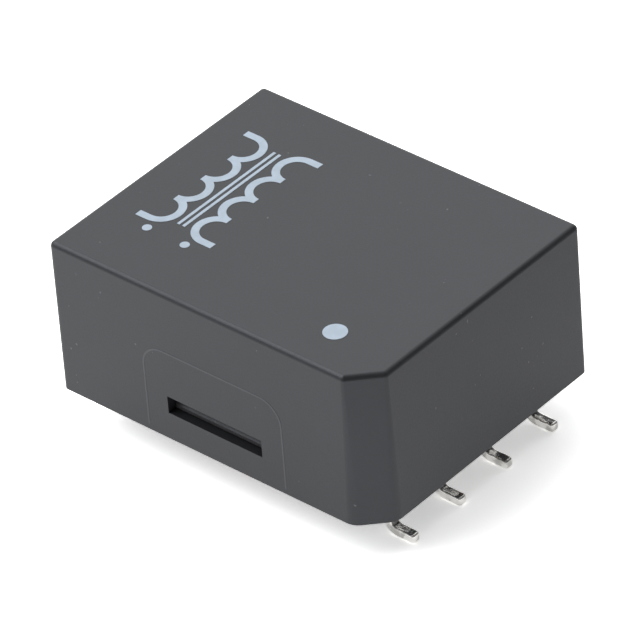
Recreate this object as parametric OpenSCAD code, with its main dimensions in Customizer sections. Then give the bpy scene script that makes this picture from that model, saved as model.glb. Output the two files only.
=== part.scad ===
// Surface-mount transformer: a toroid with four windings in a moulded case,
// carried by a base plate with two rows of four gull-wing terminals.
// Millimetres, +Z up. The origin is on the board, under the middle of the case.

/* [Case] */
// Length of the case, from one terminal end to the other
case_length = 14.45; // [13:0.05:18]
// Width of the case across its snap slots
case_width = 11.5; // [11.2:0.05:15]
// Height of the case from its rim to its top
case_height = 6.4; // [6.2:0.05:9]
// Thickness of the side walls
case_wall = 0.6; // [0.45:0.05:0.75]
// Thickness of the roof
case_roof = 0.7; // [0.5:0.05:0.8]
// Length of each leg of the cut corner that marks pin 1
corner_cut = 1.08; // [0.8:0.01:1.4]
// Rounding of the top edges and of the upright corners
edge_radius = 0.22; // [0.1:0.01:0.4]
// Rounding of the cut corner's two edges at the rim
rim_radius = 0.7; // [0.4:0.05:0.9]
// Width of each snap slot
slot_width = 4.3; // [3:0.1:6]
// Height of each snap slot
slot_height = 0.72; // [0.6:0.02:1]
// Width of the arched witness line that the slot's mould insert leaves
witness_width = 6.35; // [5:0.05:8]
// Height of the witness line above the rim
witness_height = 3.85; // [3:0.05:5]
// Radius of the witness line's upper corners
witness_radius = 0.95; // [0.5:0.05:1.5]

/* [Base plate] */
// Thickness of the plate
plate_thickness = 1.2; // [1:0.05:1.3]
// Gap between the plate's edge and the case wall
plate_gap = 0.1; // [0.05:0.01:0.2]
// Radius of the plate's upright corners
plate_corner = 0.3; // [0.1:0.05:0.4]
// Width of the lower strip along each long edge
strip_width = 0.6; // [0.3:0.05:0.8]
// How far the middle field stands below the strips
field_step = 0.08; // [0.04:0.01:0.15]
// Diameter of the round window
window_diameter = 7.34; // [6:0.02:8]
// Distance between the window's two flats
window_flats = 5.65; // [4.5:0.05:5.8]
// Width of each wire notch
notch_width = 0.62; // [0.55:0.01:0.8]
// Depth of each wire notch in from the plate's end
notch_depth = 0.56; // [0.5:0.01:0.8]
// Reach of each snap nose into its slot
nose_reach = 0.25; // [0.15:0.01:0.3]

/* [Terminals] */
// Distance between neighbouring terminals in a row
pitch = 2.54; // [2.4:0.01:2.6]
// Side of the square terminal wire
pin_size = 0.4; // [0.35:0.01:0.5]
// Distance from the plate's end to the middle of a terminal
pin_inset = 0.425; // [0.4:0.005:0.6]
// Height of the case rim above the board
standoff = 1.45; // [1.35:0.05:2]
// Reach of each foot out from the middle of its terminal
foot_reach = 1.2; // [1.1:0.01:1.6]
// Radius inside the terminal's bend
bend_radius = 0.25; // [0.1:0.01:0.3]
// Radius of the foot's two end corners
tip_radius = 0.12; // [0.06:0.01:0.16]
// Length of terminal that stands out of the plate inside the case
pin_tail = 0.3; // [0.1:0.05:0.5]

/* [Solder] */
// Height of each solder joint, measured from the plate
solder_height = 0.78; // [0.7:0.01:0.8]
// Radius of the wire wraps around a terminal, at the middle of the wire
wrap_radius = 0.36; // [0.34:0.01:0.4]
// Wraps of wire around each terminal
wraps = 3; // [2:1:3]

/* [Core] */
// Outside diameter of the coated core
core_outer = 6.9; // [6:0.1:7.2]
// Inside diameter of the coated core
core_inner = 2.6; // [2.5:0.1:3]
// Height of the coated core
core_height = 2.3; // [1.8:0.05:2.4]
// Rounding of the core's edges
core_edge = 0.62; // [0.6:0.01:0.7]

/* [Windings] */
// Diameter of the enamelled wire
wire = 0.2; // [0.14:0.01:0.21]
// Gap between the wire and the core
wire_gap = 0.05; // [0.03:0.01:0.08]
// Turns of each of the four windings
turns = 10; // [6:1:10]
// Gap between the turns of the innermost wire in the core's hole
turn_gap = 0.045; // [0.03:0.005:0.06]
// Angle that the wires sweep over the lower face on their way in
lower_sweep = 22; // [10:1:26]
// Angle that the wires sweep back over the upper face
upper_sweep = 8; // [4:1:12]

/* [Adhesive] */
// Clearance between the bead around the windings and the case's wall
bead_clearance = 0.3; // [0.1:0.05:0.5]
// Gap between the bead and the windings
bead_gap = 0.25; // [0.2:0.05:0.4]
// Depth of the bead below the roof
bead_depth = 3.1; // [2.5:0.1:3.3]
// Thickness of the pad between the windings and the roof
pad_thickness = 0.4; // [0.3:0.05:0.45]
// Inside radius of the pad
pad_inner = 2.75; // [2.7:0.05:3]

/* [Hidden] */

$fn = 48;
eps = 0.01;
// Length by which a cutter passes the faces that it cuts
past = 1;

// Heights above the board
rim_z = standoff;
plate_in_z = rim_z + plate_thickness;
field_z = rim_z - field_step;
top_z = rim_z + case_height;
roof_z = top_z - case_roof;

// Half sizes of the plate, and how far its outline lies inside the case's
plate_inset = case_wall + plate_gap;
plate_half_l = case_length / 2 - plate_inset;
plate_half_w = case_width / 2 - plate_inset;

// Snap slots and noses: each slot's sill is just below the plate's inner face
snap_gap = 0.04;
sill_z = plate_in_z - snap_gap;
lug_depth = 0.55;
lug_height = 0.45;

// Witness line: width and height of its fine ridge
ridge_width = 0.07;
ridge_height = 0.02;

// Terminals 1 to 4 stand in the +X row and 5 to 8 in the -X row
row_x = plate_half_l - pin_inset;
function side(n) = n <= 4 ? 1 : -1;
function place(n) = n <= 4 ? n : 9 - n;
function pin_y(n) = (place(n) - 2.5) * pitch;

// Each wire comes out at a notch beside its terminal, turns and runs along the row to it
wire_x = plate_half_l - notch_depth / 2;
notch_shift = 0.14;
function way(n) = place(n) < 3 ? -1 : 1;
function notch_y(n) = pin_y(n) - way(n) * pitch / 2;
// Depth below the plate's field at which the wire runs to the wraps
lead_drop = 0.19;
// Length of wire past the notch's middle that keeps its enamel
enamel_run = 0.5;
function bare_start(n) = [side(n) * wire_x, notch_y(n) + way(n) * (notch_shift + enamel_run),
                          field_z - lead_drop];

// Solder joint: film over the wraps, first wrap's middle, taper from wrap to wrap, rounding
solder_film = 0.02;
first_wrap = 0.13;
wrap_taper = 0.03;
solder_round = 0.1;

// Windings: four wires side by side, each in a layer of its own in the core's hole
lanes = 4;
passes = turns + 1;
turn_angle = 360 / passes;
lane_angle = turn_angle / lanes;
first_angle = 12;
far_turns = floor(passes / 2);
lift_gap = 0.015;
layer_step = wire + lift_gap;
loop_outer = core_outer / 2 + wire_gap + wire / 2;
loop_height = core_height / 2 + wire_gap + wire / 2;
hole_outer = core_inner / 2 - wire_gap - wire / 2;
hole_inner = passes * (wire + turn_gap) / (2 * PI);
function loop_inner(lane) = hole_outer - lane * (hole_outer - hole_inner) / (lanes - 1);
// Radii between which the wires climb onto the layers below them
heap_start = 3.3;
heap_end = 1.2;
// Curve of the wires' sweep over the faces, and the phase over which they step on outside
sweep_curve = 1.4;
step_phase = 60;
winding_half = loop_height + (lanes - 1) * layer_step + wire / 2;
winding_radius = loop_outer + wire / 2;
roof_gap = 0.06;
toroid_z = roof_z - roof_gap - winding_half;

// Rings of the swept wires: points in a turn, and sides of the wire
turn_points = 16;
wire_sides = 6;
start_phase = 67.5;
end_phase = 22.5;

// Leads: the fall on which they leave the ring, and the handles of their bends
fall_in = 0.12;
fall_out = 9;
lead_reach = 0.8;
lead_rise = 0.25;
lead_sink = 0.45;
lead_points = 7;
bend_points = 4;

// ---- helpers ----

// Corners of the case outline moved inwards; the +X -Y corner is cut off
function outline(inset) =
    let (hx = case_length / 2 - inset,
         hy = case_width / 2 - inset,
         cut = corner_cut - inset * (2 - sqrt(2)))
    [[-hx, -hy], [hx - cut, -hy], [hx, -hy + cut], [hx, hy], [-hx, hy]];

module rounded_outline(inset, r) {
    hull()
        for (p = outline(inset + r))
            translate(p)
                circle(r);
}

function unit(v) = v / norm(v);
function smooth(t) = let (u = min(1, max(0, t))) u * u * (3 - 2 * u);
function root(v) = sign(v) * sqrt(abs(v));
function bezier(a, b, c, d, n) =
    [for (i = [0:n])
        let (t = i / n, s = 1 - t)
        s * s * s * a + 3 * s * s * t * b + 3 * s * t * t * c + t * t * t * d];

// A round wire swept along a list of points; its ring is carried without twist
function headings(path) =
    [for (i = [0:len(path) - 1])
        unit(path[min(i + 1, len(path) - 1)] - path[max(i - 1, 0)])];
function square_to(n, t) = unit(n - (n * t) * t);

module swept_wire(path, d, sides) {
    along = headings(path);
    last = len(path) - 1;
    across = [for (i = 0, n = square_to([0.3, 0.2, 1], along[0]);
                   i <= last;
                   i = i + 1, n = i <= last ? square_to(n, along[i]) : n) n];
    points = [for (i = [0:last], k = [0:sides - 1])
        path[i] + d / 2 * (cos(360 * k / sides) * across[i]
                           + sin(360 * k / sides) * cross(along[i], across[i]))];
    skin = [for (i = [0:last - 1], k = [0:sides - 1])
        let (a = i * sides + k, b = i * sides + (k + 1) % sides)
        each [[a, a + sides, b], [b, a + sides, b + sides]]];
    polyhedron(points,
               concat([[for (k = [0:sides - 1]) k]], skin,
                      [[for (k = [sides - 1:-1:0]) last * sides + k]]));
}

// ---- case ----

module arch(inset) {
    w = witness_width - 2 * inset;
    h = witness_height - inset;
    r = witness_radius - inset;
    translate([-w / 2, edge_radius])
        square([w, h - r - edge_radius]);
    translate([-w / 2 + r, edge_radius])
        square([w - 2 * r, h - edge_radius]);
    for (x = [-1, 1])
        translate([x * (w / 2 - r), h - r])
            circle(r);
}

module witness_line() {
    translate([0, -case_width / 2 + ridge_height, rim_z])
        rotate([90, 0, 0])
            linear_extrude(2 * ridge_height)
                difference() {
                    arch(0);
                    arch(ridge_width);
                }
}

// Solid outer form: the cut corner's edges are softer at the rim than at the top
module case_block() {
    hull()
        for (i = [0:4]) {
            rim_r = i == 1 || i == 2 ? rim_radius : edge_radius;
            translate([each outline(rim_r)[i], rim_z])
                cylinder(r = rim_r, h = eps, $fn = 48);
            translate([each outline(edge_radius)[i], top_z - edge_radius])
                sphere(edge_radius, $fn = 32);
        }
}

module case_shell() {
    color("#2b2c2f")
        difference() {
            union() {
                case_block();
                for (turn = [0, 180])
                    rotate(turn)
                        witness_line();
            }
            translate([0, 0, rim_z - eps])
                linear_extrude(case_height - case_roof + eps)
                    rounded_outline(case_wall, plate_corner);
            translate([-slot_width / 2, -case_width / 2 - past, sill_z])
                cube([slot_width, case_width + 2 * past, slot_height]);
        }
}

// ---- base plate ----

module window() {
    intersection() {
        circle(d = window_diameter, $fn = 96);
        square([window_flats, window_diameter + past], center = true);
    }
}

module wire_notches() {
    for (x = [-1, 1], k = [-1:1])
        translate([x * plate_half_l, k * pitch]) {
            translate([-x * (notch_depth - notch_width / 2), 0])
                circle(d = notch_width);
            translate([-x * (notch_depth - notch_width / 2) / 2, 0])
                square([notch_depth - notch_width / 2 + eps, notch_width], center = true);
        }
}

module snap_lug() {
    half = slot_width / 2 - snap_gap;
    nose_y = case_width / 2 - case_wall + nose_reach;
    translate([-half, 0, 0])
        rotate([90, 0, 90])
            linear_extrude(2 * half)
                polygon([[plate_half_w - lug_depth, plate_in_z - eps],
                         [plate_half_w, plate_in_z - eps],
                         [plate_half_w, plate_in_z],
                         [nose_y, plate_in_z],
                         [nose_y, plate_in_z + lug_height / 3],
                         [plate_half_w, plate_in_z + lug_height],
                         [plate_half_w - lug_depth, plate_in_z + lug_height]]);
}

module base_plate() {
    color("#333437")
        difference() {
            union() {
                translate([0, 0, rim_z])
                    linear_extrude(plate_thickness)
                        rounded_outline(plate_inset, plate_corner);
                translate([0, 0, field_z])
                    linear_extrude(field_step + eps)
                        intersection() {
                            rounded_outline(plate_inset, plate_corner);
                            union()
                                for (x = [-1, 1])
                                    translate([x * strip_width, 0])
                                        polygon(outline(plate_inset + strip_width));
                        }
                for (turn = [0, 180])
                    rotate(turn)
                        snap_lug();
            }
            translate([0, 0, field_z - eps])
                linear_extrude(plate_thickness + field_step + 2 * eps) {
                    window();
                    wire_notches();
                }
            for (n = [1:8])
                translate([side(n) * row_x, pin_y(n), plate_in_z])
                    cube([pin_size, pin_size, 4 * plate_thickness], center = true);
        }
}

// ---- terminals and their solder joints ----

module foot_outline(length) {
    translate([0, -pin_size / 2])
        square([length - tip_radius, pin_size]);
    translate([0, -pin_size / 2 + tip_radius])
        square([length, pin_size - 2 * tip_radius]);
    for (y = [-1, 1])
        translate([length - tip_radius, y * (pin_size / 2 - tip_radius)])
            circle(tip_radius);
}

module terminal(n) {
    bend_x = pin_size / 2 + bend_radius;
    bend_z = pin_size + bend_radius;
    color("#d4d5d3")
        translate([side(n) * row_x, pin_y(n), 0])
            rotate(side(n) > 0 ? 0 : 180) {
                translate([-pin_size / 2, -pin_size / 2, bend_z])
                    cube([pin_size, pin_size, plate_in_z + pin_tail - bend_z]);
                translate([bend_x, pin_size / 2, bend_z])
                    rotate([90, 0, 0])
                        rotate(180)
                            rotate_extrude(angle = 90)
                                translate([bend_radius, 0])
                                    square(pin_size);
                translate([bend_x, 0, 0])
                    linear_extrude(pin_size)
                        foot_outline(foot_reach - bend_x);
            }
}

// Section of the joint: solder round the terminal, swollen over the wraps
module joint_section() {
    barrel_r = wrap_radius - solder_film;
    square([barrel_r, solder_height - solder_round]);
    square([barrel_r - solder_round, solder_height]);
    translate([barrel_r - solder_round, solder_height - solder_round])
        circle(solder_round);
    for (k = [0:wraps - 1])
        translate([wrap_radius - k * wrap_taper, first_wrap + k * wire])
            circle(wire / 2 + solder_film);
}

module solder_joint(n) {
    from = bare_start(n);
    run = abs(pin_y(n) - from.y) - wrap_radius;
    color("#c3c4c2")
        difference() {
            union() {
                translate([side(n) * row_x, pin_y(n), field_z])
                    mirror([0, 0, 1])
                        rotate_extrude()
                            joint_section();
                translate(from)
                    rotate([-90 * way(n), 0, 0])
                        cylinder(d = wire, h = run, $fn = 24);
            }
            terminal(n);
        }
}

// ---- core and windings ----

module toroid_core() {
    color("#1d1d1f")
        translate([0, 0, toroid_z])
            rotate_extrude($fn = 96)
                translate([(core_outer + core_inner) / 4, 0])
                    core_section();
}

module core_section() {
    w = (core_outer - core_inner) / 2;
    square([w, core_height - 2 * core_edge], center = true);
    square([w - 2 * core_edge, core_height], center = true);
    for (x = [-1, 1], y = [-1, 1])
        translate([x * (w / 2 - core_edge), y * (core_height / 2 - core_edge)])
            circle(core_edge);
}

// Share of a face's sweep that a wire has made at radius r
function sweep(r) =
    pow(max(0, loop_outer - r) / (loop_outer - loop_inner(lanes - 1)), sweep_curve);

// A point of a wire: 0 is outside the ring, 90 below it, 180 in its hole, 270 above it
function loop_point(lane, start, phase) =
    let (lap = floor(phase / 360),
         p = phase - 360 * lap,
         inner = loop_inner(lane),
         r = (loop_outer + inner) / 2 + (loop_outer - inner) / 2 * root(cos(p)),
         heap = lane * layer_step * smooth((heap_start - r) / (heap_start - heap_end)),
         z = -root(sin(p)) * (loop_height + heap),
         full = sweep(inner),
         gain = turn_angle - (lower_sweep - upper_sweep) * full,
         swept = p > 180
             ? lower_sweep * full - upper_sweep * (full - sweep(r))
               + gain * smooth((p - 360 + step_phase) / (2 * step_phase))
             : lower_sweep * sweep(r)
               - gain * (1 - smooth((p + step_phase) / (2 * step_phase))),
         a = start + turn_angle * lap + swept)
    [r * cos(a), r * sin(a), toroid_z + z];

// The lead of terminal n, from the ring to the end of its enamel. It leaves the ring
// at point e in direction d, drops through the notch, bends and runs along the row.
function lead(n, e, d) =
    let (x = side(n) * wire_x,
         y = notch_y(n) + way(n) * notch_shift,
         above = [x, y, plate_in_z + lead_rise],
         below = [x, y, rim_z],
         turn = [x, y, field_z - lead_drop],
         stop = bare_start(n),
         level = (turn + stop) / 2)
    concat(bezier(e, e + lead_reach * d, above + [0, 0, lead_sink], above, lead_points),
           bezier(below, (below + 2 * turn) / 3, (level + 2 * turn) / 3, level, bend_points),
           [stop]);

// One winding, wound from terminal n_start to terminal n_end
module winding(lane, start, n_start, n_end) {
    steps = (360 * turns + end_phase - start_phase) / (360 / turn_points);
    ring = [for (i = [0:steps])
        loop_point(lane, start, start_phase + i * 360 / turn_points)];
    first = ring[0];
    final = ring[len(ring) - 1];
    lead_in = lead(n_start, first, unit([first.x, first.y, -fall_in]));
    lead_out = lead(n_end, final, unit([final.x, final.y, -fall_out]));
    swept_wire(concat([for (i = [len(lead_in) - 1:-1:1]) lead_in[i]], ring,
                      [for (i = [1:len(lead_out) - 1]) lead_out[i]]),
               wire, wire_sides);
}

module winding_green() {
    color("#1f4a38")
        winding(0, first_angle, 3, 1);
}

module winding_gold_a() {
    color("#b98546")
        winding(1, first_angle + lane_angle, 4, 2);
}

module winding_gold_b() {
    color("#b98546")
        winding(2, first_angle + 2 * lane_angle + far_turns * turn_angle, 7, 5);
}

module winding_red() {
    color("#a3222f")
        winding(3, first_angle + 3 * lane_angle + far_turns * turn_angle, 8, 6);
}

// ---- adhesive ----

module core_adhesive() {
    inner = winding_radius + bead_gap;
    bead_width = case_width / 2 - case_wall - bead_clearance - inner;
    color("#161618")
        translate([0, 0, roof_z])
            mirror([0, 0, 1])
                rotate_extrude($fn = 96) {
                    translate([inner, 0])
                        square([bead_width, bead_depth - bead_width / 2]);
                    translate([inner + bead_width / 2, bead_depth - bead_width / 2])
                        circle(d = bead_width);
                    translate([pad_inner, 0])
                        square([inner + bead_width - pad_inner, pad_thickness]);
                }
}

case_shell();
base_plate();
core_adhesive();
toroid_core();
winding_green();
winding_gold_a();
winding_gold_b();
winding_red();
terminal(1);  // terminal_1
terminal(2);  // terminal_2
terminal(3);  // terminal_3
terminal(4);  // terminal_4
terminal(5);  // terminal_5
terminal(6);  // terminal_6
terminal(7);  // terminal_7
terminal(8);  // terminal_8
solder_joint(1);  // solder_joint_1
solder_joint(2);  // solder_joint_2
solder_joint(3);  // solder_joint_3
solder_joint(4);  // solder_joint_4
solder_joint(5);  // solder_joint_5
solder_joint(6);  // solder_joint_6
solder_joint(7);  // solder_joint_7
solder_joint(8);  // solder_joint_8
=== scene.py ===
"""Dresses a surface-mount transformer: its case, plate, terminals, solder, wires, core and print.

Working meshes are made in millimetres and turned into metres when a piece is finished. Lengths in
the settings are kept in metres and read in millimetres.
"""

import math

import bmesh
import bpy
from bpy.props import FloatProperty, FloatVectorProperty, IntProperty, PointerProperty
from mathutils import Matrix, Vector, noise


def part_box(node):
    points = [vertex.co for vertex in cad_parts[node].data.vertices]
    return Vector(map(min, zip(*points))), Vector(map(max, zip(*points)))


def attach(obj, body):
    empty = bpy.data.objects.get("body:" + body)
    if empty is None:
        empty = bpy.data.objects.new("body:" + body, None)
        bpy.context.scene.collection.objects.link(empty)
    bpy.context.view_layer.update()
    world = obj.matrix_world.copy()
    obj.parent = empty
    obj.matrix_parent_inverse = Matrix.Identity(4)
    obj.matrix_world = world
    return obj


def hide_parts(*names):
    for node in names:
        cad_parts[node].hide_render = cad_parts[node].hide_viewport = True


bl_info = {
    "name": "Surface-mount transformer",
    "version": (1, 0, 0),
    "blender": (4, 5, 0),
    "location": "3D View > Sidebar > Transformer",
    "description": "Finishes the pieces of a toroid transformer around its solid model",
    "category": "Object",
}

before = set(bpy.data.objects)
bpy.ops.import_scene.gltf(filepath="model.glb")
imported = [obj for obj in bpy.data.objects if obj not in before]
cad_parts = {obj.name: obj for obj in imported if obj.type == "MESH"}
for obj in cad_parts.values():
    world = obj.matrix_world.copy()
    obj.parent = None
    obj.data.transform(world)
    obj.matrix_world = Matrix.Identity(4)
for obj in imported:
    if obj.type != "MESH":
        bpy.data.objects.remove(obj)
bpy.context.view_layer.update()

MM = 0.001
ROOT = "root"
TERMINALS = range(1, 9)


def box_of(node):
    """The lowest and highest corner of a solid, in millimetres."""
    low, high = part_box(node)
    return low / MM, high / MM


CASE_LOW, CASE_HIGH = box_of("case_shell")
PLATE_LOW, PLATE_HIGH = box_of("base_plate")
CORE_LOW, CORE_HIGH = box_of("toroid_core")


# ---- sizes and colours that a user would change ----


def length(name, description, default, low=0.0, high=50.0):
    """A length, given in millimetres and kept in metres."""
    return FloatProperty(
        name=name,
        description=description,
        default=default * MM,
        min=low * MM,
        max=high * MM,
        precision=6,
        subtype="DISTANCE",
    )


def place(name, description, default):
    """Two lengths, given in millimetres and kept in metres."""
    metres = [value * MM for value in default]
    return FloatVectorProperty(
        name=name, description=description, default=metres, size=2, precision=6, unit="LENGTH"
    )


def angle(name, description, default):
    """An angle, given in degrees and kept in radians."""
    return FloatProperty(
        name=name, description=description, default=math.radians(default), subtype="ANGLE"
    )


def share(name, description, default):
    """A number from 0 to 1."""
    return FloatProperty(
        name=name, description=description, default=default, min=0.0, max=1.0, subtype="FACTOR"
    )


def colour(name, description, default):
    """A linear colour."""
    return FloatVectorProperty(
        name=name, description=description, default=default, min=0.0, max=1.0, subtype="COLOR"
    )


def number(name, description, default, low, high):
    """A whole number."""
    return IntProperty(name=name, description=description, default=default, min=low, max=high)


class CaseSettings(bpy.types.PropertyGroup):
    """The moulded case and the base plate."""

    edge: length("Edge rounding", "Rounding of the case's sharp edges", 0.014, high=0.1)
    colour: colour("Case colour", "Colour of the case's plastic", (0.017, 0.0175, 0.019))
    # The plate's rounded edges are painted paler: a painted highlight
    plate_edge: length("Plate edge", "Rounding of the plate's worn edges", 0.025, high=0.1)
    # Paler than the case, though the real plate is the same black plastic: painted light on the
    # plate
    plate_colour: colour("Plate colour", "Colour of the plate's plastic", (0.042, 0.0425, 0.045))
    line_height: length("Line height", "Height of the witness line around each slot", 0.006)
    grain: length("Grain", "Size of the moulded texture's grain", 0.07, 0.01, 1.0)


class PrintSettings(bpy.types.PropertyGroup):
    """The printed dot beside terminal 1 and the winding symbol."""

    dot_diameter: length("Dot diameter", "Diameter of the dot beside terminal 1", 0.88)
    dot_inset: place("Dot inset", "Distance of the dot's middle from two faces", (2.925, 1.87))
    symbol_place: place("Symbol place", "Middle of the symbol", (-4.05, 0.25))
    stroke: length("Stroke", "Width of the symbol's coil lines", 0.3)
    humps: number("Humps", "Humps of each coil in the symbol", 4, 1, 8)
    hump: length("Hump radius", "Radius of the symbol's humps", 0.72)
    tail: length("Tail", "Length of the coils' tails", 0.5)
    core_gap: length("Core gap", "Space between the symbol's coils", 0.72)
    core_stroke: length("Core stroke", "Width of the symbol's core lines", 0.12)
    core_share: share("Core share", "Length of the core lines as a share of the coils' length", 0.9)
    polarity_diameter: length("Polarity dot", "Diameter of the dot beside each coil's end", 0.36)
    polarity_place: place("Polarity place", "Place of that dot from the coil's end", (0.358, 0.5))
    film: length("Ink thickness", "Thickness of the ink", 0.008)
    colour: colour("Ink colour", "Colour of the printed ink", (0.42, 0.505, 0.6))


class TerminalSettings(bpy.types.PropertyGroup):
    """The terminals and their solder joints."""

    edge: length("Edge rounding", "Rounding of the terminal wire's edges", 0.11, high=0.15)
    wraps: FloatProperty(
        name="Wraps", description="Wraps of wire around each terminal", default=2.3, min=1, max=5
    )
    wrap_radius: length("Wrap radius", "Radius of the wraps at the middle of the wire", 0.36)
    wrap_fall: length("Wrap fall", "Height over which the wraps run", 0.38)
    film: length("Solder film", "How much the solder thickens the wraps, across", 0.05)
    lumps: length("Lumps", "Height of the solder's lumps", 0.11)
    solder_depth: length("Solder depth", "Height of each joint below the plate", 0.78)
    voxel: length("Solder detail", "Size of the solder mesh's faces", 0.024, 0.01, 0.2)
    tin_colour: colour("Tin colour", "Colour of the tinned terminals", (0.82, 0.81, 0.78))
    solder_colour: colour("Solder colour", "Colour of the solder", (0.8, 0.8, 0.79))


class WindingSettings(bpy.types.PropertyGroup):
    """The four windings on the coated core, and the adhesive around them."""

    wire: length("Wire diameter", "Diameter of the enamelled wire", 0.18)
    wire_gap: length("Wire gap", "Gap between the wire and the core", 0.05)
    hole: length("Hole diameter", "Inside diameter of the coated core", 2.6)
    layer: length("Layer step", "Step between the wires' layers in the hole", 0.24)
    turns: number("Turns", "Turns of each winding", 10, 4, 14)
    lower_sweep: angle("Lower sweep", "Angle swept over the lower face", 22)
    upper_sweep: angle("Upper sweep", "Angle swept back over the upper face", 8)
    wander: length("Wander", "How far a wire strays sideways from its path", 0.05)
    sides: number("Sides", "Sides of a wire's mesh", 12, 6, 32)
    swell: length("Adhesive swell", "How far the adhesive swells over the wires", 0.42)
    voxel: length("Adhesive detail", "Size of the adhesive mesh's faces", 0.08, 0.01, 0.2)
    green: colour("Green enamel", "Colour of the green enamelled wire", (0.02, 0.1, 0.055))
    gold: colour("Gold enamel", "Colour of the clear enamelled copper wire", (0.8, 0.4, 0.13))
    red: colour("Red enamel", "Colour of the red enamelled wire", (0.6, 0.02, 0.035))
    black: colour("Coating", "Colour of the core's coating and the adhesive", (0.012, 0.012, 0.013))


class StageSettings(bpy.types.PropertyGroup):
    """The floor, the light and the camera."""

    azimuth: angle("Azimuth", "Camera's angle round the part", 43.03)
    elevation: angle("Elevation", "Camera's angle above the floor", 36.94)
    roll: angle("Roll", "Camera's turn about its own line", -4.57)
    distance: length("Distance", "Camera's distance from the part", 243.5, high=1000.0)
    lens: FloatProperty(
        name="Lens", description="Camera's focal length", default=392.0, subtype="DISTANCE_CAMERA"
    )
    floor: colour("Floor colour", "Colour of the floor", (0.93, 0.93, 0.93))
    lift: share("Lift", "Light that the floor gives off by itself", 0.35)
    front_lift: share("Front lift", "Light that the floor adds in front of the part", 0.13)
    side_lift: share("Side lift", "Light that the floor adds beside the terminals", 0.16)
    sky: share("Sky", "Strength of the sky outside its soft lights", 0.22)
    key_strength: FloatProperty(
        name="Key strength", description="Strength of the sun", default=1.5, min=0.0
    )
    key_spread: angle("Key spread", "Angle that the sun spans", 50)


class InMillimetres:
    """A property group whose lengths are read in millimetres."""

    def __init__(self, group):
        self.group = group

    def __getattr__(self, name):
        value = getattr(self.group, name)
        if self.group.bl_rna.properties[name].unit != "LENGTH":
            return value
        return value / MM if isinstance(value, float) else Vector(value) / MM


# ---- shader nodes ----


class Field:
    """A socket in a material's node tree. Arithmetic on it adds Math nodes."""

    def __init__(self, tree, socket=None):
        self.tree = tree
        self.socket = socket

    def node(self, kind, settings=None, sockets=None, output=0):
        """Adds a node. Its settings are set first, then its sockets are given values or links."""
        made = self.tree.nodes.new(kind)
        for name, value in (settings or {}).items():
            setattr(made, name, value)
        for name, value in (sockets or {}).items():
            if isinstance(value, Field):
                self.tree.links.new(value.socket, made.inputs[name])
            else:
                made.inputs[name].default_value = value
        return Field(self.tree, made.outputs[output]) if made.outputs else None

    def math(self, operation, *values):
        """Adds a Math node."""
        return self.node("ShaderNodeMath", {"operation": operation}, dict(enumerate(values)))

    def __add__(self, other):
        return self.math("ADD", self, other)

    def __radd__(self, other):
        return self.math("ADD", other, self)

    def __sub__(self, other):
        return self.math("SUBTRACT", self, other)

    def __rsub__(self, other):
        return self.math("SUBTRACT", other, self)

    def __mul__(self, other):
        return self.math("MULTIPLY", self, other)

    def __rmul__(self, other):
        return self.math("MULTIPLY", other, self)

    def between(self, low, high):
        """0 where the value is low or less, 1 where it is high or more, and smooth between them."""
        return self.node(
            "ShaderNodeMapRange",
            {"interpolation_type": "SMOOTHSTEP"},
            {"Value": self, "From Min": low, "From Max": high},
        )


def rgba(values, gain=1.0):
    """A colour with its alpha, brightened by gain."""
    return tuple(min(1.0, gain * value) for value in values) + (1.0,)


def new_material(name):
    """An empty node material and the field that its nodes are added through."""
    material = bpy.data.materials.new(name)
    material.use_nodes = True
    material.node_tree.nodes.clear()
    return material, Field(material.node_tree)


def coordinates(tree):
    """The surface's own coordinates, in metres."""
    return tree.node("ShaderNodeTexCoord", output="Object")


def axis(tree, name):
    """One of the surface's own coordinates: X, Y or Z."""
    return tree.node("ShaderNodeSeparateXYZ", None, {0: coordinates(tree)}, output=name)


def grain(tree, size, detail=2.0, roughness=0.5):
    """Noise with grains of that size, in millimetres."""
    return tree.node(
        "ShaderNodeTexNoise",
        None,
        {
            "Vector": coordinates(tree),
            "Scale": 1.0 / (size * MM),
            "Detail": detail,
            "Roughness": roughness,
        },
    )


# The Mix node's sockets for colours share their names with its other sockets
MIX_A, MIX_B, MIX_RESULT = 6, 7, 2


def blend(tree, factor, first, second):
    """A colour that goes from first to second with the factor."""
    return tree.node(
        "ShaderNodeMix",
        {"data_type": "RGBA"},
        {"Factor": factor, MIX_A: first, MIX_B: second},
        output=MIX_RESULT,
    )


def bumped(tree, height, depth, strength=1.0):
    """A normal from a height field that is depth millimetres deep."""
    sockets = {"Height": height, "Distance": depth * MM, "Strength": strength}
    return tree.node("ShaderNodeBump", None, sockets)


def surface(material, tree, **sockets):
    """Ends a material in a Principled shader whose sockets are named by its keywords."""
    names = {k if k.isupper() else k.replace("_", " ").title(): v for k, v in sockets.items()}
    shader = tree.node("ShaderNodeBsdfPrincipled", None, names)
    tree.node("ShaderNodeOutputMaterial", None, {"Surface": shader})
    return material


# ---- materials ----


SPECK_COLOUR = (0.3, 0.31, 0.32)
PLASTIC_TINT = (0.89, 0.925, 1.0)
# How much paler the plastic is on a witness line, and on the plate's rounded edges, where the paler
# plastic is a painted highlight
LINE_GAIN, HIGHLIGHT_GAIN = 2.8, 3


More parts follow.
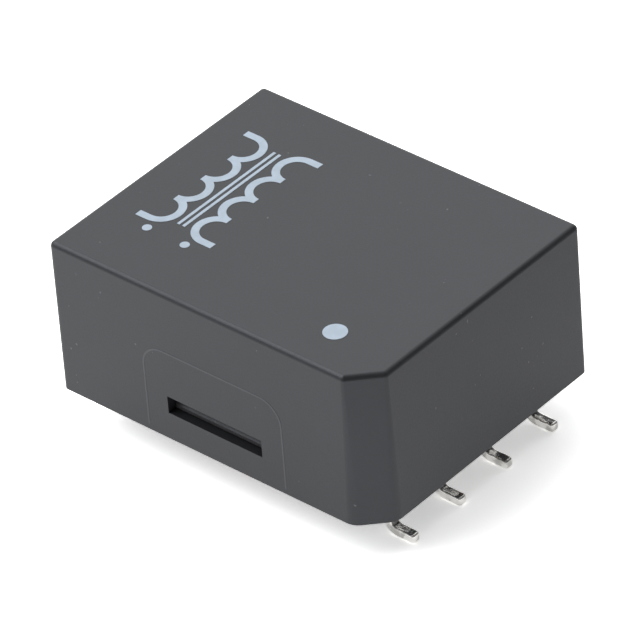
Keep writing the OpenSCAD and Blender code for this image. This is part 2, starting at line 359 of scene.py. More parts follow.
def moulded_plastic(name, base, size, gloss, wall=None):
    """Satin black plastic with a fine moulded texture, faint mottling and a few pale specks.

    What stands out of the wall, at that distance from the middle, is a little paler.
    """
    material, tree = new_material(name)
    texture = grain(tree, size, detail=3.0, roughness=0.6)
    mottle = grain(tree, 2.2, detail=3.0, roughness=0.55)
    speck = grain(tree, 0.16, detail=0.0).between(0.79, 0.83)
    specked = grain(tree, 1.3, detail=1.0).between(0.55, 0.7)
    tone = blend(tree, mottle.between(0.3, 0.7), rgba(base, 0.9), rgba(base, 1.12))
    tone = blend(tree, speck * specked * 0.25, tone, rgba(SPECK_COLOUR))
    if wall:
        y = axis(tree, "Y")
        low, high = wall + 0.001, wall + 0.004
        proud = y.math("ABSOLUTE", y).between(low * MM, high * MM)
        tone = blend(tree, proud, tone, rgba(base, LINE_GAIN))
    return surface(
        material,
        tree,
        base_color=tone,
        roughness=gloss + (texture - 0.5) * 0.22 + (mottle - 0.5) * 0.08,
        IOR=1.52,
        specular_tint=rgba(PLASTIC_TINT),
        normal=bumped(tree, texture, 0.006, 0.5),
    )


def printed_ink(base):
    """Pad-printed ink: flat and slightly uneven."""
    material, tree = new_material("printed_ink")
    patches = grain(tree, 0.35, detail=3.0)
    return surface(
        material,
        tree,
        base_color=blend(tree, patches.between(0.3, 0.7), rgba(base, 0.94), rgba(base, 1.05)),
        roughness=0.5 + patches * 0.1,
        normal=bumped(tree, grain(tree, 0.05), 0.003, 0.4),
    )


def tinned_metal(name, base, gloss, ripple, depth):
    """Bright tin or solder with ripples and duller patches that break up its reflections."""
    material, tree = new_material(name)
    stains = grain(tree, 0.45, detail=3.0)
    return surface(
        material,
        tree,
        base_color=blend(tree, stains.between(0.36, 0.62), rgba(base, 0.62), rgba(base, 1.12)),
        metallic=1.0,
        roughness=gloss + stains * 0.12,
        normal=bumped(tree, grain(tree, ripple), depth),
    )


def enamelled_wire(name, base):
    """Glossy enamel over copper wire."""
    material, tree = new_material(name)
    streaks = grain(tree, 0.5)
    return surface(
        material,
        tree,
        base_color=blend(tree, streaks.between(0.35, 0.65), rgba(base, 0.7), rgba(base, 1.25)),
        metallic=0.85,
        roughness=0.22 + streaks * 0.1,
        coat_weight=0.35,
        coat_roughness=0.04,
        normal=bumped(tree, grain(tree, 0.12), 0.004, 0.5),
    )


def smooth_coating(name, base, gloss):
    """Glossy black coating or silicone with soft unevenness."""
    material, tree = new_material(name)
    swell = grain(tree, 0.6)
    return surface(
        material,
        tree,
        base_color=blend(tree, swell.between(0.3, 0.7), rgba(base, 0.8), rgba(base, 1.3)),
        roughness=gloss + swell * 0.15,
        normal=bumped(tree, swell, 0.02, 0.5),
    )


# Where the floor's own light grows towards the front and beside the terminals, and where it fades
# behind those and further away, in metres
FRONT, BESIDE, BEHIND, AWAY = (-0.008, 0.01), (0.005, 0.008), (0.0, 0.014), (0.008, 0.018)
FADE_BEHIND, FADE_AWAY = 1.4, 2.8
# What the camera sees of the floor besides its matt white: a second, greyer coat and a glow
SECOND_COAT = 0.8
CAMERA_GLOW = 0.38


def sum_of(tree, first, second):
    """A shader that adds two shaders."""
    return tree.node("ShaderNodeAddShader", None, {0: first, 1: second})


def floor_surface(settings):
    """Matt white floor that the camera sees only from above.

    To the part, it gives off some light. To the camera it is brighter still, which keeps the shadow
    near the part.
    """
    material, tree = new_material("floor_white")
    paper = grain(tree, 4.0)
    tone = blend(tree, paper, rgba(settings.floor, 0.998), rgba(settings.floor))
    matt = tree.node("ShaderNodeBsdfDiffuse", None, {"Color": tone})
    x, y = axis(tree, "X"), axis(tree, "Y")
    front = (0.0 - y).between(*FRONT)
    beside = x.between(*BESIDE) * (1.0 - y.between(*BEHIND) * FADE_BEHIND)
    side = beside - x.between(*AWAY) * FADE_AWAY
    level = settings.lift + front * settings.front_lift + side * settings.side_lift
    glow = tree.node("ShaderNodeEmission", None, {"Strength": level})
    lit = sum_of(tree, matt, glow)
    coat = tree.node("ShaderNodeBsdfDiffuse", None, {"Color": rgba(settings.floor, SECOND_COAT)})
    white = tree.node("ShaderNodeEmission", None, {"Strength": CAMERA_GLOW})
    bright = sum_of(tree, sum_of(tree, matt, coat), white)
    clear = tree.node("ShaderNodeBsdfTransparent")
    under = tree.node("ShaderNodeNewGeometry", output="Backfacing")
    seen = tree.node("ShaderNodeLightPath", output="Is Camera Ray")
    shader = tree.node("ShaderNodeMixShader", None, {0: seen, 1: lit, 2: bright})
    shader = tree.node("ShaderNodeMixShader", None, {0: under * seen, 1: shader, 2: clear})
    tree.node("ShaderNodeOutputMaterial", None, {"Surface": shader})
    return material


# ---- meshes ----

# Edges that turn by more than this are sharp
SHARP = math.radians(32)
# Faces that turn by less than this are one flat face
COPLANAR = math.radians(0.5)
# Points that are closer than this are one point, in millimetres
MERGE = 0.0002
# Points whose heights differ by less than this lie in one plane, in millimetres
FLAT = 0.001


def working_object(mesh):
    """An object in the scene that carries a mesh while it is worked on."""
    made = bpy.data.objects.new(mesh.name, mesh)
    bpy.context.scene.collection.objects.link(made)
    return made


def mesh_from(bm, name):
    """A mesh from a bmesh, which is freed."""
    mesh = bpy.data.meshes.new(name)
    bm.to_mesh(mesh)
    bm.free()
    return mesh


def merged_copy(node):
    """A copy of a solid in millimetres, with its triangles joined and its flat faces made whole."""
    bm = bmesh.new()
    bm.from_mesh(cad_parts[node].data)
    bm.transform(Matrix.Scale(1.0 / MM, 4))
    bmesh.ops.remove_doubles(bm, verts=bm.verts, dist=MERGE)
    bmesh.ops.dissolve_degenerate(bm, dist=MERGE, edges=bm.edges)
    bmesh.ops.dissolve_limit(bm, angle_limit=COPLANAR, verts=bm.verts, edges=bm.edges)
    for face in bm.faces:
        face.smooth = True
    return mesh_from(bm, node)


def add_modifier(work, kind, **settings):
    """Adds a modifier with its settings and, for a node group, its inputs by name."""
    modifier = work.modifiers.new(kind.title(), kind)
    inputs = settings.pop("inputs", {})
    for name, value in settings.items():
        setattr(modifier, name, value)
    for item in modifier.node_group.interface.items_tree if inputs else ():
        if item.item_type == "SOCKET" and item.name in inputs:
            modifier[item.identifier] = inputs[item.name]
    return modifier


BEVEL = {"limit_method": "ANGLE", "angle_limit": SHARP, "segments": 3, "miter_outer": "MITER_ARC"}


def round_edges(work, width, **settings):
    """Rounds a working object's sharp edges and keeps its flat faces flat."""
    add_modifier(work, "BEVEL", width=width, **{**BEVEL, **settings})
    add_modifier(work, "WEIGHTED_NORMAL", weight=80, keep_sharp=True)


def voxel_remesh(work, size):
    """Makes one skin of a working object's closed shapes, with faces of that size."""
    add_modifier(work, "REMESH", mode="VOXEL", voxel_size=size, use_smooth_shade=True)


def weigh_rim(mesh, level):
    """Gives a bevel weight to the sharp edges at that height, and keeps the other ones sharp."""
    bm = bmesh.new()
    bm.from_mesh(mesh)
    weight = bm.edges.layers.float.new("bevel_weight_edge")
    for edge in bm.edges:
        sharp = edge.calc_face_angle(0.0) > SHARP
        rim = sharp and all(abs(vertex.co.z - level) < FLAT for vertex in edge.verts)
        edge[weight] = float(rim)
        edge.smooth = rim or not sharp
    bm.to_mesh(mesh)
    bm.free()


def settle(work, name, material, slot, *nodes):
    """Turns a working object into a finished piece of the frame, in metres.

    Without a material, the piece keeps the ones that its mesh carries.
    """
    bpy.context.view_layer.update()
    evaluated = work.evaluated_get(bpy.context.evaluated_depsgraph_get())
    mesh = bpy.data.meshes.new_from_object(evaluated)
    bpy.data.objects.remove(work)
    mesh.name = name
    mesh.transform(Matrix.Scale(MM, 4))
    if material:
        mesh.materials.clear()
        mesh.materials.append(material)
    piece = bpy.data.objects.new(name, mesh)
    bpy.context.scene.collection.objects.link(piece)
    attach(piece, ROOT)
    if nodes:
        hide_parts(*nodes)
    return piece


# How fine a wire's stray, a joint's lumps and the adhesive's swell are, in waves per millimetre
STRAY_WAVES, LUMP_WAVES, SWELL_WAVES = 0.8, 2.2, 0.7


def wander_of(point, amount, seed):
    """A smooth, repeatable stray of that amount at a point."""
    shift = Vector((seed * 7.3, seed * 3.1, seed * 1.7))
    return noise.noise_vector(point + shift) * amount


# ---- node groups for geometry ----


class Shape:
    """A geometry node tree under construction, with named inputs."""

    def __init__(self, name, **inputs):
        self.tree = bpy.data.node_groups.new(name, "GeometryNodeTree")
        sockets = self.tree.interface
        sockets.new_socket("Geometry", in_out="INPUT", socket_type="NodeSocketGeometry")
        for label, kind in inputs.items():
            sockets.new_socket(label.replace("_", " "), in_out="INPUT", socket_type=kind)
        sockets.new_socket("Geometry", in_out="OUTPUT", socket_type="NodeSocketGeometry")
        self.given = self.tree.nodes.new("NodeGroupInput")

    def node(self, kind, settings=None, sockets=None):
        """Adds a node. A socket's value may be a value or another node's output socket."""
        made = self.tree.nodes.new(kind)
        for name, value in (settings or {}).items():
            setattr(made, name, value)
        for name, value in (sockets or {}).items():
            if isinstance(value, bpy.types.NodeSocket):
                self.tree.links.new(value, made.inputs[name])
            else:
                made.inputs[name].default_value = value
        return made

    def end(self, geometry):
        """Ends the tree in real geometry with the material that the modifier is given."""
        real = self.node("GeometryNodeRealizeInstances", None, {"Geometry": geometry})
        painted = self.node(
            "GeometryNodeSetMaterial",
            None,
            {"Geometry": real.outputs[0], "Material": self.given.outputs["Material"]},
        )
        self.node("NodeGroupOutput", None, {"Geometry": painted.outputs[0]})
        return self.tree


def wire_tree():
    """Sweeps a round wire along a path of edges."""
    shape = Shape(
        "wire_along_path",
        Diameter="NodeSocketFloat",
        Sides="NodeSocketInt",
        Material="NodeSocketMaterial",
    )
    given = shape.given.outputs
    path = shape.node("GeometryNodeMeshToCurve", None, {"Mesh": given["Geometry"]})
    radius = shape.node("ShaderNodeMath", {"operation": "MULTIPLY"}, {0: given["Diameter"], 1: 0.5})
    ring = shape.node(
        "GeometryNodeCurvePrimitiveCircle",
        {"mode": "RADIUS"},
        {"Resolution": given["Sides"], "Radius": radius.outputs[0]},
    )
    tube = shape.node(
        "GeometryNodeCurveToMesh",
        None,
        {"Curve": path.outputs[0], "Profile Curve": ring.outputs[0], "Fill Caps": True},
    )
    smooth = shape.node("GeometryNodeSetShadeSmooth", None, {"Geometry": tube.outputs[0]})
    return shape.end(smooth.outputs[0])


def path_mesh(points, name):
    """A mesh of edges from point to point."""
    mesh = bpy.data.meshes.new(name)
    mesh.from_pydata([tuple(p) for p in points], [(i, i + 1) for i in range(len(points) - 1)], [])
    return mesh


def wire_object(points, name, diameter, sides, material=None):
    """A working object whose node group sweeps a wire along the points."""
    work = working_object(path_mesh(points, name))
    group = bpy.data.node_groups.get("wire_along_path") or wire_tree()
    inputs = {"Diameter": diameter, "Sides": sides}
    if material:
        inputs["Material"] = material
    add_modifier(work, "NODES", node_group=group, inputs=inputs)
    return work


# ---- places that several pieces share ----

# How far the leads run inside the plate's edge, beside the notch's middle and below the plate
LEAD_INSET, LEAD_SHIFT, LEAD_DROP = 0.28, 0.14, 0.19
# Heights above the plate's underside: its top, a lead's point over that, and its point in the notch
PLATE_TOP, OVER_PLATE, IN_NOTCH = 1.28, 0.25, 0.08
# Where the enamel ends along the row, from the middle of the notch
ENAMEL_END = 0.4


def side_of(n):
    """1 for terminals 1 to 4, and -1 for 5 to 8."""
    return 1 if n <= 4 else -1


def pin_of(n):
    """The middle of a terminal's upright wire, in millimetres."""
    low, high = box_of(f"terminal_{n}")
    size = high.y - low.y
    x = low.x + size / 2 if side_of(n) > 0 else high.x - size / 2
    return Vector((x, (low.y + high.y) / 2, 0.0))


def way_of(n):
    """The direction along the row in which a lead runs from its notch to its terminal."""
    return -1 if (n if n <= 4 else 9 - n) < 3 else 1


def lead_places(n):
    """The points over and in the notch, at the bend, and at the end of a lead's enamel."""
    pin = pin_of(n)
    pitch = pin_of(2).y - pin_of(1).y
    way = way_of(n)
    wire_x = side_of(n) * (PLATE_HIGH.x - LEAD_INSET)
    notch_y = pin.y - way * pitch / 2
    y = notch_y + way * LEAD_SHIFT
    level = PLATE_LOW.z - LEAD_DROP
    above = Vector((wire_x, y, PLATE_LOW.z + PLATE_TOP + OVER_PLATE))
    below = Vector((wire_x, y, PLATE_LOW.z + IN_NOTCH))
    turn = Vector((wire_x, y, level))
    stop = Vector((wire_x, notch_y + way * ENAMEL_END, level))
    return above, below, turn, stop


def bezier(a, b, c, d, count):
    """Points along a cubic curve."""
    points = []
    for i in range(count + 1):
        t = i / count
        s = 1 - t
        points.append(s**3 * a + 3 * s * s * t * b + 3 * s * t * t * c + t**3 * d)
    return points


# ---- the windings ----


# Phases of a winding's first point in its first turn and of its last point after its last
FIRST_PHASE, LAST_PHASE = 57.0, 33.0
POINTS_PER_TURN = 60
# Angle of the first winding's start, in degrees
FIRST_START = 12
# At the ring, a winding's first and last lead run outwards by their radius and down by this much
FIRST_FALL, LAST_FALL = 0.12, 9.0
# The share of a wire's stray that is kept up and down
FLATTENED = 0.3


def smooth_step(t):
    """0 up to 0, 1 from 1 on, and smooth from one to the other."""
    u = min(1.0, max(0.0, t))
    return u * u * (3 - 2 * u)


class Ring:
    """The path of a wire round the core."""

    # Air between the wires where they lie in layers, and the radii between which the layers form
    air, single, layered = 0.015, 3.3, 1.2
    # How the sweep over the ring's faces grows towards the hole
    growth = 1.4
    # The phase at which a wire sets off for its next turn, and the phase that this takes
    onward, crossing = 300, 120

    def __init__(self, settings):
        self.s = settings
        wire = settings.wire
        self.outer = CORE_HIGH.x + settings.wire_gap + wire / 2
        self.height = (CORE_HIGH.z - CORE_LOW.z) / 2 + settings.wire_gap + wire / 2
        self.middle = (CORE_HIGH.z + CORE_LOW.z) / 2
        self.turn = 360.0 / (settings.turns + 1)
        self.low, self.up = math.degrees(settings.lower_sweep), math.degrees(settings.upper_sweep)

    def inner(self, lane):
        """The distance of a lane's wires from the ring's axis, in the hole."""
        return self.s.hole / 2 - self.s.wire_gap - self.s.wire / 2 - lane * self.s.layer

    def sweep(self, r):
        """The share of a sweep that is reached at a distance from the ring's axis."""
        return max(0.0, (self.outer - r) / (self.outer - self.inner(3))) ** self.growth

    def point(self, lane, start, phase):
        """0 is outside the ring, 90 below it, 180 in its hole, and 270 above it."""
        lap = math.floor(phase / 360)
        p = phase - 360 * lap
        across, down = math.cos(math.radians(p)), math.sin(math.radians(p))
        square = (across**4 + down**4) ** -0.25
        inner = self.inner(lane)
        r = (self.outer + inner) / 2 + (self.outer - inner) / 2 * across * square
        layers = smooth_step((self.single - r) / (self.single - self.layered))
        z = -down * square * (self.height + lane * (self.s.wire + self.air) * layers)
        full = self.sweep(inner)
        low, up = self.low, self.up
        gain = self.turn - (low - up) * full
        if p > 180:
            crossed = smooth_step((p - self.onward) / self.crossing)
            swept = low * full - up * (full - self.sweep(r)) + gain * crossed
        else:
            crossed = smooth_step((p + 360 - self.onward) / self.crossing)
            swept = low * self.sweep(r) - gain * (1 - crossed)
        a = math.radians(start + self.turn * lap + swept)
        return Vector((r * math.cos(a), r * math.sin(a), self.middle + z))


def lead(n, end, fall):
    """The lead of terminal n, from the ring down its notch to the end of its enamel."""
    above, below, turn, stop = lead_places(n)
    level = (turn + stop) / 2
    direction = Vector((end.x, end.y, -fall)).normalized()
    # How far the curve holds on at the ring and over the notch
    hold, drop = 0.8, 0.45
    upper = bezier(end, end + hold * direction, above + Vector((0, 0, drop)), above, 16)
    lower = bezier(below, (below + 2 * turn) / 3, (level + 2 * turn) / 3, level, 10)
    return upper[1:] + lower + [stop]


def winding_path(settings, lane, start, n_start, n_end):
    """A winding's path from one terminal's lead to the other's."""
    ring = Ring(settings)
    last_phase = LAST_PHASE + 360 * settings.turns
    count = int((last_phase - FIRST_PHASE) / 360 * POINTS_PER_TURN)
    points = []
    for i in range(count + 1):
        point = ring.point(lane, start, FIRST_PHASE + i * 360.0 / POINTS_PER_TURN)
        ends = smooth_step(min(i, count - i) / POINTS_PER_TURN)
        stray = wander_of(point * STRAY_WAVES, settings.wander * ends, lane + 1)
        stray.z *= FLATTENED
        points.append(point + stray)
    into = lead(n_start, points[0], FIRST_FALL)
    out = lead(n_end, points[-1], LAST_FALL)
    return into[::-1] + points + out


# ---- the solder joints ----


def wrap_path(settings, n):
    """The bare wire from the end of its enamel to the terminal and around it, a little unevenly."""
    pin = pin_of(n)
    stop = lead_places(n)[3]
    side, way = side_of(n), way_of(n)
    # The first wrap's depth below the plate, and how far the wraps narrow, rise and widen by turns
    first_drop, narrowing, rise, widening = 0.14, 0.1, 0.06, 0.04
    top = PLATE_LOW.z - first_drop
    tangent = Vector((pin.x + side * settings.wrap_radius, pin.y, top))
    ahead = Vector((0, way, 0)) * (tangent - stop).length * 0.4
    points = bezier(stop, stop + ahead, tangent - ahead, tangent, 14)
    per_wrap = 28
    steps = int(per_wrap * settings.wraps)
    for i in range(1, steps + 1):
        t = i / steps
        a = 2 * math.pi * i / per_wrap
        drop = settings.wrap_fall * t + rise * math.sin(a + n) * math.sin(a * 0.3 + n)
        r = settings.wrap_radius * (1 - narrowing * t) + widening * math.sin(0.6 * a + 2 * n)
        x, y = pin.x + side * r * math.cos(a), pin.y + way * r * math.sin(a)
        points.append(Vector((x, y, top - drop)))
    return points


def solder_body(settings, n):
    """The solder that wets the wraps and runs down the terminal, as lumpy rings around it."""
    pin = pin_of(n)
    count, sides = 20, 32
    # The body's radius, how far it thins from that share of its height down, and how far it ripples
    radius, thinning, full_share, ripple = 0.37, 0.15, 0.35, 0.03
    # How far its lower end leans outwards, and the height that its lumps are spread over
    lean, spread = 0.07, 1.6
    bm = bmesh.new()
    rings = []
    for i in range(count + 1):
        t = i / count
        thinned = thinning * smooth_step((t - full_share) / (1 - full_share))
        swell = radius - thinned + ripple * math.sin(3 * math.pi * t + n)
        x = pin.x + side_of(n) * lean * t * t
        z = PLATE_LOW.z - t * settings.solder_depth
        ring = []
        for k in range(sides):
            a = 2 * math.pi * k / sides
            point = Vector((math.cos(a), math.sin(a), -spread * t))
            shift = Vector((n * 5.7, n * 2.3, 0))
            r = swell + noise.noise(point * 1.6 + shift) * settings.lumps
            ring.append(bm.verts.new((x + r * point.x, pin.y + r * point.y, z)))
        rings.append(ring)
    for upper, lower in zip(rings, rings[1:]):
        for k in range(sides):
            m = (k + 1) % sides
            bm.faces.new((upper[k], upper[m], lower[m], lower[k]))
    bm.faces.new(rings[0])
    bm.faces.new(rings[-1])
    bmesh.ops.recalc_face_normals(bm, faces=bm.faces)
    return mesh_from(bm, f"solder_body_{n}")


def joined(works, name):
    """One working object with the evaluated meshes of several, which are removed."""
    bpy.context.view_layer.update()
    depsgraph = bpy.context.evaluated_depsgraph_get()
    bm = bmesh.new()
    for work in works:
        mesh = bpy.data.meshes.new_from_object(work.evaluated_get(depsgraph))
        bm.from_mesh(mesh)
        bpy.data.meshes.remove(mesh)
    for work in works:
        bpy.data.objects.remove(work)
    return working_object(mesh_from(bm, name))


# ---- the print ----


def arc(middle, radius, first, last, count=24):
    """Points along an arc from one angle to another, in radians."""
    angles = [first + (last - first) * i / count for i in range(count + 1)]
    return [middle + radius * Vector((math.cos(a), math.sin(a))) for a in angles]


def hump_outline(settings, middle, is_first, is_last):
    """One hump of the symbol's coil, which bulges to +X and meets its neighbours square on."""
    radius, half = settings.hump, settings.stroke / 2
    meet = math.asin(radius / (radius + half))
    first = -math.pi / 2 if is_first else -meet
    last = math.pi / 2 if is_last else meet
    outside = arc(middle, radius + half, first, last)
    inside = arc(middle, radius - half, math.pi / 2, -math.pi / 2)
    above = [] if is_last else [middle + Vector((0, radius))]
    below = [] if is_first else [middle - Vector((0, radius))]
    return outside + above + inside + below


def box_outline(x_low, x_high, y_low, y_high):
    """The corners of a rectangle."""
    return [Vector(p) for p in ((x_low, y_low), (x_high, y_low), (x_high, y_high), (x_low, y_high))]


def coil_outlines(settings):
    """The outlines of a coil around the origin: its humps and its two tails."""
    radius, half = settings.hump, settings.stroke / 2
    reach = settings.humps * radius
    outlines = []
    for k in range(settings.humps):
        middle = Vector((0, (2 * k + 1) * radius - reach))
        outlines.append(hump_outline(settings, middle, k == 0, k == settings.humps - 1))
    for y in (-reach, reach):
        outlines.append(box_outline(-settings.tail, 0, y - half, y + half))
    return outlines


def symbol_outlines(settings):
    """The symbol's outlines around the origin: two coils, their dots and the core's two lines."""
    reach = settings.humps * settings.hump
    gap, half = settings.core_gap, settings.core_stroke / 2
    spot = Vector((settings.polarity_place.x, -reach - settings.polarity_place.y))
    coil = coil_outlines(settings)
    coil.append(disc_outline(spot, settings.polarity_diameter / 2, 32))
    away = Vector((gap / 2 + settings.hump + settings.stroke / 2, 0))
    line, end = gap / 6, reach * settings.core_share
    outlines = []
    for facing in (1, -1):
        for outline in coil:
            outlines.append([Vector((facing * (p.x - away.x), p.y)) for p in outline])
        outlines.append(box_outline(facing * line - half, facing * line + half, -end, end))
    return outlines


def prism(bm, outline, low, high):
    """Adds a closed prism on an outline."""
    lower = [bm.verts.new((p.x, p.y, low)) for p in outline]
    upper = [bm.verts.new((p.x, p.y, high)) for p in outline]
    count = len(outline)
    for i in range(count):
        k = (i + 1) % count
        bm.faces.new((lower[i], lower[k], upper[k], upper[i]))
    bm.faces.new(lower[::-1])
    bm.faces.new(upper)


def weld(bm):
    """Makes one closed shape of prisms that touch, without the walls between them."""
    bmesh.ops.remove_doubles(bm, verts=bm.verts, dist=MERGE / 2)
    walls = [face for face in bm.faces if all(len(edge.link_faces) > 2 for edge in face.edges)]
    bmesh.ops.delete(bm, geom=walls, context="FACES_ONLY")
    bmesh.ops.recalc_face_normals(bm, faces=bm.faces)


def disc_outline(middle, radius, count=64):
    """Points round a circle."""
    angles = [2 * math.pi / count * i for i in range(count)]
    return [middle + radius * Vector((math.cos(a), math.sin(a))) for a in angles]


# ---- operators ----


# The seed of the vector noise, which would otherwise differ from run to run
NOISE_SEED = 1


class Maker(bpy.types.Operator):
    """Base of the operators that make pieces."""

    bl_options = {"REGISTER", "UNDO"}

    def execute(self, context):
        """Makes the pieces. Errors are raised, as a cancelled operator wouldn't stop a script."""
        noise.seed_set(NOISE_SEED)
        self.make(context.scene)
        return {"FINISHED"}


def slotted_wall(mesh):
    """How far the slotted walls stand from the middle, without their witness lines."""
    near, line = CASE_HIGH.y - 0.1, CASE_HIGH.y - 0.005
    return max(abs(v.co.y) for v in mesh.vertices if near < abs(v.co.y) < line)


def soften_witness_line(mesh, wall, height):
    """Lowers the fine ridge that stands out of the case's two slotted walls."""
    for vertex in mesh.vertices:
        if abs(vertex.co.y) > wall + 2 * FLAT:
            vertex.co.y = math.copysign(wall + height, vertex.co.y)


class TRANSFORMER_OT_case(Maker):
    """Finish the moulded case with rounded edges and satin plastic"""

    bl_idname = "transformer.case"
    bl_label = "Case"

    def make(self, scene):
        settings = InMillimetres(scene.transformer_case)
        mesh = merged_copy("case_shell")
        wall = slotted_wall(mesh)
        soften_witness_line(mesh, wall, settings.line_height)
        plastic = moulded_plastic(
            "case_plastic", settings.colour, settings.grain, gloss=0.42, wall=wall
        )
        work = working_object(mesh)
        round_edges(work, settings.edge)
        settle(work, "case", plastic, "case_plastic", "case_shell")


class TRANSFORMER_OT_plate(Maker):
    """Finish the base plate in satin plastic, with a painted highlight on its rounded edges"""

    bl_idname = "transformer.plate"
    bl_label = "Base plate"

    def make(self, scene):
        settings = InMillimetres(scene.transformer_case)
        # The plate's colour is paler than the case's by painted light
        colour, grain_size = settings.plate_colour, settings.grain
        plastic = moulded_plastic("plate_plastic", colour, grain_size * 1.5, gloss=0.36)
        # A paler copy of the plate's plastic, a painted highlight for its rounded edges
        highlight_colour = [HIGHLIGHT_GAIN * value for value in colour]
        highlit = moulded_plastic("worn_plastic", highlight_colour, grain_size, gloss=0.5)
        mesh = merged_copy("base_plate")
        face = min(v.co.z for v in mesh.vertices if abs(v.co.x) < PLATE_HIGH.x / 2)
        weigh_rim(mesh, face)
        work = working_object(mesh)
        for material in (plastic, highlit):
            mesh.materials.append(material)
        # The rounded edges' faces take the second material, a paler plastic that is a painted
        # highlight
        round_edges(work, settings.plate_edge, limit_method="WEIGHT", material=1)
        settle(work, "plate", None, "plate_plastic", "base_plate")


class TRANSFORMER_OT_terminals(Maker):
    """Finish the eight tinned terminals"""

    bl_idname = "transformer.terminals"
    bl_label = "Terminals"

    def make(self, scene):
        settings = InMillimetres(scene.transformer_terminals)
        tin = tinned_metal("bright_tin", settings.tin_colour, gloss=0.1, ripple=0.26, depth=0.04)
        for n in TERMINALS:
            work = working_object(merged_copy(f"terminal_{n}"))
            round_edges(work, settings.edge)
            settle(work, f"pin_{n}", tin, "tinned_terminal", f"terminal_{n}")


class TRANSFORMER_OT_solder(Maker):
    """Make the eight solder joints over their wire wraps"""

    bl_idname = "transformer.solder"
    bl_label = "Solder joints"

    def make(self, scene):
        settings = InMillimetres(scene.transformer_terminals)
        thickness = InMillimetres(scene.transformer_windings).wire + settings.film
        colour = settings.solder_colour
        solder = tinned_metal("bright_solder", colour, gloss=0.08, ripple=0.3, depth=0.012)
        for n in TERMINALS:
            wraps = wire_object(wrap_path(settings, n), f"wraps_{n}", thickness, sides=12)
            body = working_object(solder_body(settings, n))
            work = joined([wraps, body], f"joint_{n}")
            voxel_remesh(work, settings.voxel)
            work = joined([work], f"lump_{n}")
            for vertex in work.data.vertices:
                vertex.co += wander_of(vertex.co * LUMP_WAVES, settings.lumps * 0.8, n)
            add_modifier(work, "SMOOTH", factor=0.5, iterations=9)
            settle(work, f"solder_{n}", solder, "solder", f"solder_joint_{n}")


class TRANSFORMER_OT_windings(Maker):
    """Wind the four enamelled wires round the core and lead them to their notches"""

    bl_idname = "transformer.windings"
    bl_label = "Windings"

    def make(self, scene):
        settings = InMillimetres(scene.transformer_windings)
        ring = Ring(settings)
        half = (settings.turns + 1) // 2 * ring.turn
        green = enamelled_wire("green_wire", settings.green)
        gold = enamelled_wire("gold_wire", settings.gold)
        red = enamelled_wire("red_wire", settings.red)
        # Each node's material, slot, lane, angle past its lane's start, and its two terminals
        plan = (
            ("winding_green", green, "green_enamel", 0, 0.0, 3, 1),
            ("winding_gold_a", gold, "gold_enamel", 1, 0.0, 4, 2),
            ("winding_gold_b", gold, "gold_enamel", 2, half, 7, 5),
            ("winding_red", red, "red_enamel", 3, half, 8, 6),
        )
        for node, material, slot, lane, offset, n_start, n_end in plan:
            start = FIRST_START + lane * ring.turn / len(plan) + offset
            path = winding_path(settings, lane, start, n_start, n_end)
            name = node.replace("winding", "wire")
            work = wire_object(path, name, settings.wire, settings.sides, material)
            settle(work, name, material, slot, node)


def swell_adhesive(mesh, amount):
    """Swells the adhesive's underside over the outer bends of the wires, unevenly."""
    middle = (CORE_LOW.z + CORE_HIGH.z) / 2
    outside = max(v.co.x for v in mesh.vertices)
    for vertex in mesh.vertices:
        inward = Vector((-vertex.co.x, -vertex.co.y, 0))
        uneven = amount * (1 + noise.noise(vertex.co * SWELL_WAVES))
        low = smooth_step(middle - vertex.co.z) * uneven
        within = min(1.0, outside - inward.length)
        vertex.co += inward.normalized() * low * within - Vector((0, 0, low))


class TRANSFORMER_OT_core(Maker):
    """Finish the coated core and the adhesive around it"""

    bl_idname = "transformer.core"
    bl_label = "Core and adhesive"

    def make(self, scene):
        settings = InMillimetres(scene.transformer_windings)
        coating = smooth_coating("core_coating", settings.black, gloss=0.2)
        work = working_object(merged_copy("toroid_core"))
        add_modifier(work, "WEIGHTED_NORMAL", weight=50)
        settle(work, "coated_core", coating, "core_coating", "toroid_core")
        silicone = smooth_coating("black_silicone", settings.black, gloss=0.28)
        work = working_object(merged_copy("core_adhesive"))
        voxel_remesh(work, settings.voxel)
        work = joined([work], "adhesive")
        swell_adhesive(work.data, settings.swell)
        add_modifier(work, "SMOOTH", factor=0.5, iterations=30)
        settle(work, "adhesive_bead", silicone, "adhesive", "core_adhesive")


class TRANSFORMER_OT_print(Maker):
    """Print the dot beside terminal 1 and the winding symbol on the case"""

    bl_idname = "transformer.print"
    bl_label = "Print"

    def make(self, scene):
        settings = InMillimetres(scene.transformer_print)
        ink = printed_ink(settings.colour)
        low, high = CASE_HIGH.z - settings.film, CASE_HIGH.z + settings.film
        inset = settings.dot_inset
        bm = bmesh.new()
        middle = Vector((CASE_HIGH.x - inset.x, CASE_LOW.y + inset.y))
        prism(bm, disc_outline(middle, settings.dot_diameter / 2), low, high)
        settle(working_object(mesh_from(bm, "dot")), "terminal_one_dot", ink, None)
        bm = bmesh.new()
        for outline in symbol_outlines(settings):
            prism(bm, [settings.symbol_place + p for p in outline], low, high)
        weld(bm)
        settle(working_object(mesh_from(bm, "symbol")), "winding_symbol", ink, None)


# Soft lights of the sky: direction, the cosines at which each fades in and is full, and strength
SOFTBOXES = (
    ((-0.52, 0.61, 0.6), 0.5, 0.92, 1.75),
    ((-0.6, -0.55, 0.55), 0.45, 0.95, 0.5),
)
# The direction of the sun, and how far the camera aims below the case's middle, in millimetres
SUN = (-0.66, -0.4, 1.0)
AIM_DROP = 0.6


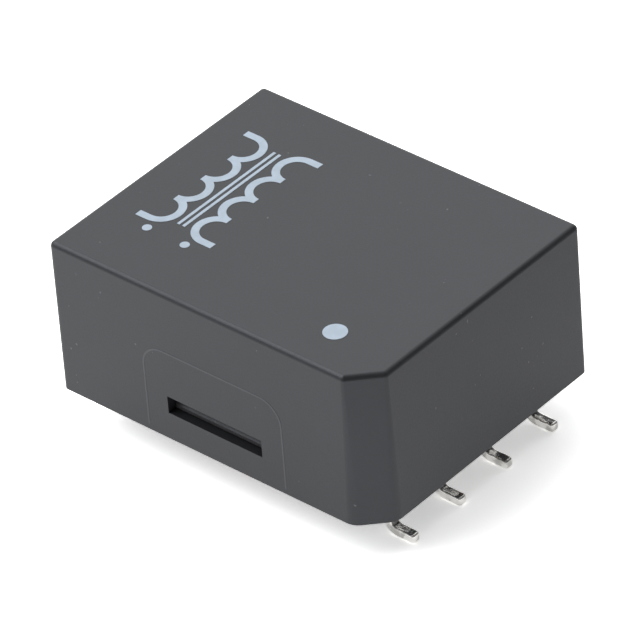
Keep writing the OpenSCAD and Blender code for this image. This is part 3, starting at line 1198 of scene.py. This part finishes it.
class TRANSFORMER_OT_stage(Maker):
    """Set the floor, the soft studio light and the camera"""

    bl_idname = "transformer.stage"
    bl_label = "Stage"

    def make(self, scene):
        settings = InMillimetres(scene.transformer_stage)
        self.lay_floor(settings)
        self.light(scene, settings)
        self.place_camera(scene, settings)
        scene.view_settings.view_transform = "Standard"

    def lay_floor(self, settings):
        """Lays the floor under the part, at the height of its feet."""
        bm = bmesh.new()
        bmesh.ops.create_grid(bm, x_segments=8, y_segments=8, size=2.0)
        mesh = mesh_from(bm, "floor")
        mesh.materials.append(floor_surface(settings))
        floor = working_object(mesh)

    def light(self, scene, settings):
        """Sets the sky with its soft lights, and the sun."""
        world = bpy.data.worlds.new("studio")
        world.use_nodes = True
        world.node_tree.nodes.clear()
        tree = Field(world.node_tree)
        level = settings.sky
        for toward, start, end, gain in SOFTBOXES:
            level = self.facing(tree, toward).between(start, end) * gain + level
        sky = tree.node("ShaderNodeBackground", None, {"Strength": level})
        tree.node("ShaderNodeOutputWorld", None, {"Surface": sky})
        scene.world = world
        key = bpy.data.lights.new("key", "SUN")
        key.energy = settings.key_strength
        key.angle = settings.key_spread
        lamp = bpy.data.objects.new("key", key)
        lamp.rotation_euler = Vector(SUN).to_track_quat("Z", "Y").to_euler()
        scene.collection.objects.link(lamp)

    def facing(self, tree, toward):
        """The cosine between the sky's direction and the one given."""
        sky = tree.node("ShaderNodeTexCoord", output="Generated")
        sockets = {0: sky, 1: Vector(toward).normalized()}
        settings = {"operation": "DOT_PRODUCT"}
        return tree.node("ShaderNodeVectorMath", settings, sockets, output="Value")

    def place_camera(self, scene, settings):
        """Places the camera at its angles, aimed a little below the case's middle."""
        camera = bpy.data.cameras.new("camera")
        camera.lens = settings.lens
        camera.clip_start, camera.clip_end = 0.01, 10.0
        made = bpy.data.objects.new("camera", camera)
        azimuth, elevation = settings.azimuth, settings.elevation
        level = Vector((math.sin(azimuth), -math.cos(azimuth), 0.0))
        back = level * math.cos(elevation) + Vector((0.0, 0.0, math.sin(elevation)))
        middle = (CASE_LOW + CASE_HIGH) / 2
        aim = Vector((middle.x, middle.y, middle.z - AIM_DROP)) * MM
        roll = Matrix.Rotation(settings.roll, 3, "Z").to_quaternion()
        made.rotation_mode = "QUATERNION"
        made.rotation_quaternion = (-back).to_track_quat("-Z", "Y") @ roll
        made.location = aim + back * settings.distance * MM
        scene.collection.objects.link(made)
        scene.camera = made


# ---- panel and registration ----

MAKERS = (
    TRANSFORMER_OT_stage,
    TRANSFORMER_OT_case,
    TRANSFORMER_OT_plate,
    TRANSFORMER_OT_terminals,
    TRANSFORMER_OT_solder,
    TRANSFORMER_OT_windings,
    TRANSFORMER_OT_core,
    TRANSFORMER_OT_print,
)

SETTINGS = {
    "transformer_case": CaseSettings,
    "transformer_print": PrintSettings,
    "transformer_terminals": TerminalSettings,
    "transformer_windings": WindingSettings,
    "transformer_stage": StageSettings,
}


class TRANSFORMER_PT_pieces(bpy.types.Panel):
    """Lists the operators that make the transformer's pieces."""

    bl_label = "Transformer"
    bl_idname = "TRANSFORMER_PT_pieces"
    bl_space_type = "VIEW_3D"
    bl_region_type = "UI"
    bl_category = "Transformer"

    def draw(self, context):
        """Draws a button for each operator."""
        for maker in MAKERS:
            self.layout.operator(maker.bl_idname)


CLASSES = (*SETTINGS.values(), *MAKERS, TRANSFORMER_PT_pieces)


def register():
    """Registers the classes and gives each scene its settings."""
    for cls in CLASSES:
        bpy.utils.register_class(cls)
    for name, cls in SETTINGS.items():
        setattr(bpy.types.Scene, name, PointerProperty(type=cls))


def unregister():
    """Takes the settings and the classes away."""
    for name in SETTINGS:
        delattr(bpy.types.Scene, name)
    for cls in reversed(CLASSES):
        bpy.utils.unregister_class(cls)


def main():
    """Makes every piece."""
    register()
    for maker in MAKERS:
        group, name = maker.bl_idname.split(".")
        getattr(getattr(bpy.ops, group), name)()


if __name__ == "__main__":
    main()
